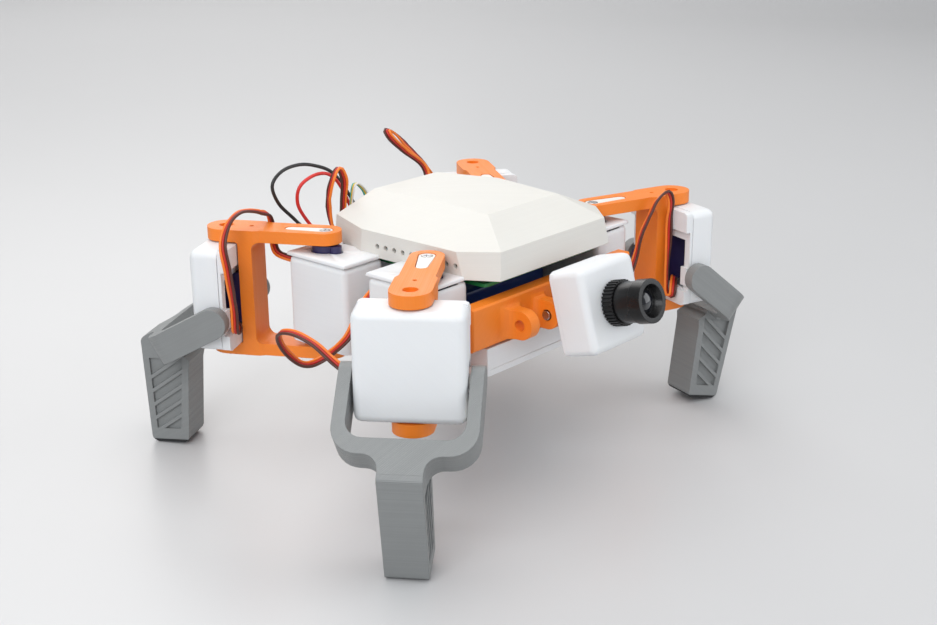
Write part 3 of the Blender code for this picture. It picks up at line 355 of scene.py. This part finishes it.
H = in_hip
ROUTES = {
    "knee_cable_rr": ([H("rr", 43.0, 7.4, -41.0), H("rr", 39.6, 11.8, -40.4), H("rr", 35.5, 16.4, -41.4), H("rr", 34.6, 22.6, -41.5),
                       H("rr", 34.4, 23.4, -31.0), H("rr", 35.8, 24.2, -14.0), H("rr", 38.0, 22.2, -2.2), H("rr", 37.0, 16.5, 5.5),
                       H("rr", 34.0, 12.0, 9.0), H("rr", 31.0, 6.0, 8.4), H("rr", 29.0, -2.0, 5.6), H("rr", 28.6, -8.4, 3.2),
                       H("rr", 28.4, -11.2, -1.5), H("rr", 28.0, -10.8, -8.5), H("rr", 25.5, -8.2, -13.8), H("rr", 19.5, -6.5, -15.5),
                       (-51.0, 46.4, -18.4), (-45.0, 45.2, -22.0), (-40.6, 43.2, -27.5), (-38.0, 40.0, -34.0)], "ribbon"),
    "knee_cable_fr": ([H("fr", 43.0, -7.4, -41.0), H("fr", 39.6, -11.8, -40.3), H("fr", 35.5, -16.4, -41.2), H("fr", 34.4, -24.0, -40.0),
                       H("fr", 33.4, -32.0, -35.0), H("fr", 31.0, -41.0, -28.0), H("fr", 27.5, -50.0, -25.0), H("fr", 22.0, -57.0, -27.5),
                       H("fr", 14.0, -57.5, -37.0), H("fr", 6.0, -52.0, -46.5), H("fr", -1.0, -47.5, -48.0), (-73.0, 0.6, -38.0),
                       (-64.0, 0.2, -26.0), (-54.0, 0.0, -19.5), (-45.0, 0.0, -18.2), (-37.0, 0.0, -20.0)], "ribbon"),
    "knee_cable_fl": ([H("fl", 43.0, -7.4, -41.0), H("fl", 39.6, -11.4, -40.3), H("fl", 36.2, -15.4, -43.2), H("fl", 35.0, -16.2, -46.6), H("fl", 34.4, -13.8, -47.0),
                       H("fl", 34.8, -11.9, -37.0), H("fl", 35.8, -11.2, -22.0), H("fl", 35.7, -11.2, -10.0), H("fl", 36.0, -11.6, -1.4),
                       H("fl", 33.5, -11.8, 2.6), H("fl", 28.0, -11.6, -0.6), H("fl", 24.0, -11.4, -7.5), H("fl", 20.2, -10.6, -16.0),
                       H("fl", 17.6, -10.0, -27.0), (64.0, -45.2, -34.0), (55.0, -44.1, -36.0), (46.0, -44.1, -36.2), (37.0, -43.0, -38.0)], "ribbon"),
    "knee_cable_rl": ([H("rl", 43.0, 7.4, -41.0), H("rl", 39.6, 11.8, -40.3), H("rl", 35.5, 16.4, -41.4), H("rl", 34.4, 23.0, -40.0),
                       H("rl", 34.0, 25.0, -28.0), (52.0, 66.0, -10.0), (44.0, 61.0, 3.0), (30.5, 61.5, 16.5), (20.0, 62.0, 26.0),
                       (14.8, 61.2, 28.0), (15.2, 59.4, 25.0), (24.0, 58.4, 17.0), (35.5, 56.5, 7.0), (34.0, 52.0, -5.0), (30.0, 47.2, -14.0), (26.0, 45.6, -21.0)], "ribbon"),
    "servo_lead_rear": ([(-27.0, 46.2, -21.0), (-27.6, 46.8, -12.0), (-27.4, 48.6, -4.0), (-26.6, 48.6, 5.0), (-27.6, 46.6, 14.5), (-31.6, 46.0, 20.4),
                         (-35.0, 47.6, 13.0), (-34.6, 50.0, 4.0), (-34.0, 49.4, -5.0), (-32.6, 46.8, -13.0), (-31.8, 46.2, -21.0)], "ribbon"),
    "power_wire_red": ([(-18.6, 46.4, -21.0), (-18.8, 47.2, -12.0), (-20.6, 52.0, 2.0), (-25.6, 54.0, 12.5), (-31.5, 54.2, 16.6), (-40.0, 54.4, 16.8),
                        (-47.0, 55.0, 13.0), (-47.4, 56.2, 5.5), (-42.0, 54.6, -5.0), (-37.4, 47.6, -14.0), (-36.6, 46.2, -21.0)], "red"),
    "power_wire_black": ([(-14.6, 46.4, -21.0), (-14.8, 47.4, -12.0), (-17.0, 55.0, 4.0), (-24.0, 58.0, 15.0), (-34.0, 58.2, 20.0), (-44.0, 58.4, 22.2),
                          (-54.6, 58.2, 20.8), (-59.8, 58.2, 16.0), (-57.0, 58.2, 7.5), (-49.0, 57.0, -1.5), (-42.5, 50.0, -12.0), (-39.6, 46.4, -21.0)], "black"),
    "sensor_lead": ([(-8.0, 46.2, -21.0), (-8.2, 47.0, -11.0), (-11.0, 47.6, -1.0), (-16.5, 46.2, 8.0), (-22.6, 45.2, 11.6), (-23.6, 46.6, 4.0),
                     (-22.8, 47.6, -5.0), (-22.6, 46.8, -13.0), (-22.4, 46.2, -21.0)], "rainbow"),
}

def insulation(name, rgb, rough=0.42):
    g = G(name)
    big, fine = g.noise(160, 3, 0.6), g.noise(1800, 2, 0.6)
    g.put(g.b.inputs["Base Color"], g.mix(big, col4(shade(rgb, 0.86)), col4(shade(rgb, 1.1))))
    g.put(g.b.inputs["Roughness"], g.math("ADD", g.math("MULTIPLY", g.math("SUBTRACT", big, 0.5), 0.25), rough, clamp=True))
    g.put(g.b.inputs["Normal"], g.bump(fine, 0.15, 0.00004))
    g.b.inputs["Specular IOR Level"].default_value = 0.55
    return g.m

W_ORANGE = insulation("wire_orange", (0.90, 0.22, 0.02))
W_RED = insulation("wire_red", (0.52, 0.022, 0.012))
W_BROWN = insulation("wire_brown", (0.085, 0.022, 0.014))
W_PRED = insulation("wire_power_red", (0.66, 0.025, 0.02), 0.35)
W_PBLACK = insulation("wire_power_black", (0.012, 0.012, 0.013), 0.35)
W_TEAL = insulation("wire_teal", (0.05, 0.42, 0.36))
W_YELLOW = insulation("wire_yellow", (0.75, 0.52, 0.03))
W_WHITE = insulation("wire_white", (0.7, 0.7, 0.68))
SETS = {
    "ribbon": ([W_BROWN, W_RED, W_ORANGE], 0.62, 1.18),
    "rainbow": ([W_TEAL, W_YELLOW, W_WHITE], 0.42, 0.8),
    "red": ([W_PRED], 0.8, 0.0),
    "black": ([W_PBLACK], 0.8, 0.0),
}

def cord_mesh(name, keys, kind, flat_hint=None, twist=0.0):
    """Round wires laid side by side along a route, as one mesh. Returns the piece, its path and its length."""
    mats, r, gap = SETS[kind]
    pts, _ = smooth_path(keys, 1.5)
    pts = [STANCE @ (p * MM) for p in pts]
    n = len(pts)
    tang = []
    for i in range(n):
        a, b = pts[max(i - 1, 0)], pts[min(i + 1, n - 1)]
        tang.append((b - a).normalized())
    # the flat side lies across the bend where the lead curves, carried along by parallel transport
    side = Vector(flat_hint) if flat_hint else Vector((0, 0, 1))
    side = (side - tang[0] * side.dot(tang[0]))
    if side.length < 1e-4:
        side = tang[0].orthogonal()
    side.normalize()
    sides = []
    for i in range(n):
        side = (side - tang[i] * side.dot(tang[i])).normalized()
        if 2 <= i < n - 2:
            curv = pts[i - 2] + pts[i + 2] - pts[i] * 2
            axis = tang[i].cross(curv)
            if axis.length > 1e-7:
                axis.normalize()
                if axis.dot(side) < 0:
                    axis = -axis
                side = side.lerp(axis, 0.10).normalized()
                side = (side - tang[i] * side.dot(tang[i])).normalized()
        sides.append(side.copy())
    length = sum((b - a).length for a, b in zip(pts, pts[1:]))
    bm = bmesh.new()
    seg = 10
    for w, mt in enumerate(mats):
        off = (w - (len(mats) - 1) / 2) * gap * MM
        rings = []
        for i in range(n):
            nrm = tang[i].cross(sides[i]).normalized()
            c = pts[i] + sides[i] * off
            rings.append([bm.verts.new(c + (sides[i] * math.cos(2 * math.pi * q / seg) + nrm * math.sin(2 * math.pi * q / seg)) * r * MM)
                          for q in range(seg)])
        for a, b in zip(rings, rings[1:]):
            for q in range(seg):
                f = bm.faces.new((a[q], a[(q + 1) % seg], b[(q + 1) % seg], b[q]))
                f.material_index = w
        f = bm.faces.new(rings[0][::-1]); f.material_index = w
        f = bm.faces.new(rings[-1]); f.material_index = w
    me = bpy.data.meshes.new(name)
    bm.normal_update()
    bm.to_mesh(me)
    bm.free()
    for mt in mats:
        me.materials.append(mt)
    me.shade_smooth()
    o = link(bpy.data.objects.new(name, me))
    return o, pts, length

CORDS = {}
HINT = {"knee_cable_rr": HIP["rr"].to_3x3() @ Vector((0, 1, 0.2)), "knee_cable_fr": HIP["fr"].to_3x3() @ Vector((0.2, 0, 1)),
        "knee_cable_fl": HIP["fl"].to_3x3() @ Vector((0, 1, 0.2)), "knee_cable_rl": HIP["rl"].to_3x3() @ Vector((0.3, 0, 1))}
for nm, (keys, kind) in ROUTES.items():
    o, path, length = cord_mesh(nm + "_lead", keys, kind, HINT.get(nm, (1, 0, 0)))
    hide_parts(nm)
    if nm.startswith("knee_cable"):
        mid = Vector(path[-1])
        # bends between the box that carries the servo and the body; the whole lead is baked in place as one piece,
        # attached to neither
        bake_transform(o)
    else:
        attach(o, "chassis")
    CORDS[nm] = o

# =====================================================================
# materials on the CAD pieces
for k in LEGS:
    dress(f"hip_bracket_{k}", printed(f"orange_bracket_{k}", ORANGE, HIP[k], "y", 0.3, 0.42, 0.22, skin=False, tint=0.05, sub=0.08), 0.45)
    dress(f"hip_horn_{k}", moulded(f"nylon_horn_{k}", (0.80, 0.78, 0.73), 0.42, 1200, 0.1, 0.05), 0.15)
    dress(f"hip_horn_screw_{k}", moulded(f"screw_{k}", (0.55, 0.55, 0.56), 0.28, 2200, 0.25, 0.08, metal=1.0))
    dress(f"knee_box_cover_{k}", printed(f"white_box_cover_{k}", WHITE, HIP[k], "x", 0.3, 0.5, 0.10, skin=True, tint=0.015, sub=0.1, fill=0.10), 0.0)
    dress(f"knee_box_frame_{k}", printed(f"white_box_frame_{k}", WHITE, HIP[k], "x", 0.3, 0.5, 0.16, skin=True, tint=0.02, sub=0.1, fill=0.2), 0.3)
    dress(f"knee_servo_{k}", moulded(f"servo_case_{k}", (0.022, 0.016, 0.085), 0.32, 1500, 0.12, 0.1, coat=0.15), 0.3)
    dress(f"hip_servo_{k}", moulded(f"servo_case_h_{k}", (0.022, 0.016, 0.085), 0.32, 1500, 0.12, 0.1, coat=0.15), 0.3)
    dress(f"knee_horn_{k}", moulded(f"nylon_knee_horn_{k}", (0.80, 0.78, 0.73), 0.42, 1200, 0.1, 0.05))
    dress(f"leg_fork_{k}", printed(f"grey_fork_{k}", GREY, KNEE[k], "z", 0.45, 0.42, 0.75, skin=True, tint=0.08, fill=0.85, fill_pitch=0.7, fill_deg=45), 0.7)
    dress(f"foot_sole_{k}", moulded(f"sole_{k}", (0.02, 0.02, 0.022), 0.75, 700, 0.5, 0.2, dist=0.0001))
dress("chassis_base", printed("white_chassis", WHITE, STANCE, "z", 0.3, 0.5, 0.14, skin=True, tint=0.02, sub=0.1, fill=0.2), 0.0)
dress("top_cover", printed("white_cover_print", COVER, STANCE, "z", 0.3, 0.52, 0.10, skin=True, tint=0.02, warm=(0.74, 0.725, 0.68), sub=0.1, fill=0.12), 0.7, 3, 20.0)
dress("front_panel", printed("orange_panel", ORANGE, STANCE, "y", 0.3, 0.42, 0.2, skin=True, tint=0.05, sub=0.08, fill=0.2), 0.5)
dress("camera_housing", printed("white_camera", WHITE, CAM, "y", 0.3, 0.5, 0.10, skin=True, tint=0.015, sub=0.1, fill=0.1))
dress("camera_back", printed("white_camera_back", WHITE, CAM, "y", 0.3, 0.5, 0.14, skin=True, tint=0.02, sub=0.1, fill=0.2), 0.3)
dress("camera_board", moulded("sensor_board", (0.012, 0.15, 0.05), 0.4, 1500, 0.2, 0.2, coat=0.2))
dress("camera_tilt_pin", moulded("tilt_pin", (0.55, 0.55, 0.56), 0.28, 2200, 0.25, 0.08, metal=1.0))
dress("lens_barrel", moulded("lens_body", (0.006, 0.006, 0.0065), 0.27, 1500, 0.12, 0.15, spec=0.38), 0.25)
dress("lens_lock_ring", moulded("lens_ring", (0.006, 0.006, 0.0065), 0.32, 1500, 0.15, 0.15, spec=0.38), 0.12)
dress("lens_glass", moulded("lens_front", (0.003, 0.004, 0.009), 0.03, 300, 0.0, 0.3, coat=0.6, spec=0.6))
dress("controller_board", moulded("board_mask", (0.012, 0.24, 0.07), 0.38, 1500, 0.2, 0.15, coat=0.25))
dress("battery_pack", moulded("battery_wrap_film", (0.03, 0.08, 0.35), 0.3, 500, 0.3, 0.1, coat=0.4))

# =====================================================================
# printed lids of the four corner servo boxes, with an opening round the gear tower
def corner_lid(k, material):
    sx, sy = LEGS[k][:2]
    x0, x1 = (-12.1, 11.9)
    y0, y1 = (-23.6, 11.8)
    n = 72
    angs = sorted([2 * math.pi * i / n for i in range(n)] + [math.atan2(y, x) % (2 * math.pi) for x in (x0, x1) for y in (y0, y1)])
    def rim(a):
        ux, uy = math.cos(a), math.sin(a)
        t = min([(x1 if ux > 0 else x0) / ux if abs(ux) > 1e-9 else 1e9, (y1 if uy > 0 else y0) / uy if abs(uy) > 1e-9 else 1e9])
        return ux * t, uy * t
    def hole(a):
        ux, uy = math.cos(a), math.sin(a)
        r = 6.35
        b = -6.2 * uy
        disc = b * b - (6.2 * 6.2 - 3.1 * 3.1)
        if disc > 0:
            r = max(r, b + math.sqrt(disc))
        return ux * r, uy * r
    def inset(p, i):
        return min(max(p[0], x0 + i), x1 - i), min(max(p[1], y0 + i), y1 - i)
    rows = [("h", 0, -9.75), ("h", 0, -9.2), ("h", -0.25, -8.95), ("r", 0.75, -8.95), ("r", 0.22, -9.17), ("r", 0.0, -9.7),
            ("r", 0.0, -10.62), ("r", 1.4, -10.62), ("r", 1.4, -9.75)]
    bm = bmesh.new()
    loops = []
    for kind, off, z in rows:
        lp = []
        for a in angs:
            if kind == "h":
                x, y = hole(a)
                x, y = x - off * math.cos(a), y - off * math.sin(a)
            else:
                x, y = inset(rim(a), off)
            lp.append(bm.verts.new(STANCE @ (Vector((sx * (HIP_X + x), sy * (HIP_Y + y), z)) * MM)))
        loops.append(lp)
    m_ = len(angs)
    for a, b in zip(loops, loops[1:] + loops[:1]):
        for i in range(m_):
            j = (i + 1) % m_
            bm.faces.new((a[i], a[j], b[j], b[i]))
    bmesh.ops.remove_doubles(bm, verts=bm.verts[:], dist=1e-6)
    o = obj_from(bm, f"corner_lid_{k}", material, 50.0)
    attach(o, "chassis")
    return o

LID = printed("white_corner_lid", WHITE, STANCE, "z", 0.3, 0.5, 0.12, skin=True, tint=0.02, sub=0.1, fill=0.2)
for k in LEGS:
    corner_lid(k, LID)

# =====================================================================
# floor, backdrop and light
def stage_mat(name, rgb, rough):
    g = G(name)
    n = g.noise(3.0, 3, 0.5)
    g.put(g.b.inputs["Base Color"], g.mix(n, col4(shade(rgb, 0.985)), col4(shade(rgb, 1.01))))
    g.put(g.b.inputs["Roughness"], g.math("ADD", g.math("MULTIPLY", g.math("SUBTRACT", g.noise(12, 3), 0.5), 0.05), rough))
    return g.m

bm = bmesh.new()
prof = [(-2.2, 0.0), (1.3, 0.0)]
for i in range(1, 13):
    a = math.pi / 2 * i / 12
    prof.append((1.3 + 0.6 * math.sin(a), 0.6 - 0.6 * math.cos(a)))
prof.append((1.9, 2.6))
d = Vector((0.755, 0.656, 0.0))
e = Vector((0.656, -0.755, 0.0))
rows = []
for s, z in prof:
    rows.append([bm.verts.new(d * s + e * w + Vector((0, 0, z - 0.0002))) for w in (-4.0, 4.0)])
for a, b in zip(rows, rows[1:]):
    bm.faces.new((a[0], a[1], b[1], b[0]))
bm.normal_update()
me = bpy.data.meshes.new("floor")
bm.to_mesh(me)
bm.free()
me.materials.append(stage_mat("floor_paper", (0.60, 0.60, 0.605), 0.34))
me.shade_smooth()
floor = link(bpy.data.objects.new("floor", me))

def area(name, loc, target, size, power, color=(1, 1, 1), sy=None):
    L = bpy.data.lights.new(name, "AREA")
    L.energy = power
    L.color = color
    L.shape = "RECTANGLE"
    L.size = size
    L.size_y = sy or size
    o = link(bpy.data.objects.new(name, L))
    o.location = loc
    o.rotation_euler = (Vector(target) - Vector(loc)).to_track_quat("-Z", "Y").to_euler()
    return o

area("sky", (-0.1, 0.2, 1.5), (0, 0, 0.05), 1.8, 15.5, (1.0, 0.99, 0.97))
area("key", (-1.25, -0.55, 0.95), (0, 0, 0.07), 1.0, 14, (0.96, 0.98, 1.0))
area("fill", (0.9, -1.1, 0.6), (0, 0, 0.07), 1.1, 7, (0.95, 0.975, 1.0))
area("back", (0.7, 1.2, 0.9), (0, 0, 0.08), 1.0, 6, (1.0, 0.98, 0.96))

world = bpy.data.worlds.new("studio")
scene.world = world
world.use_nodes = True
bg = world.node_tree.nodes["Background"]
bg.inputs[0].default_value = (0.80, 0.82, 0.85, 1)
bg.inputs[1].default_value = 0.45
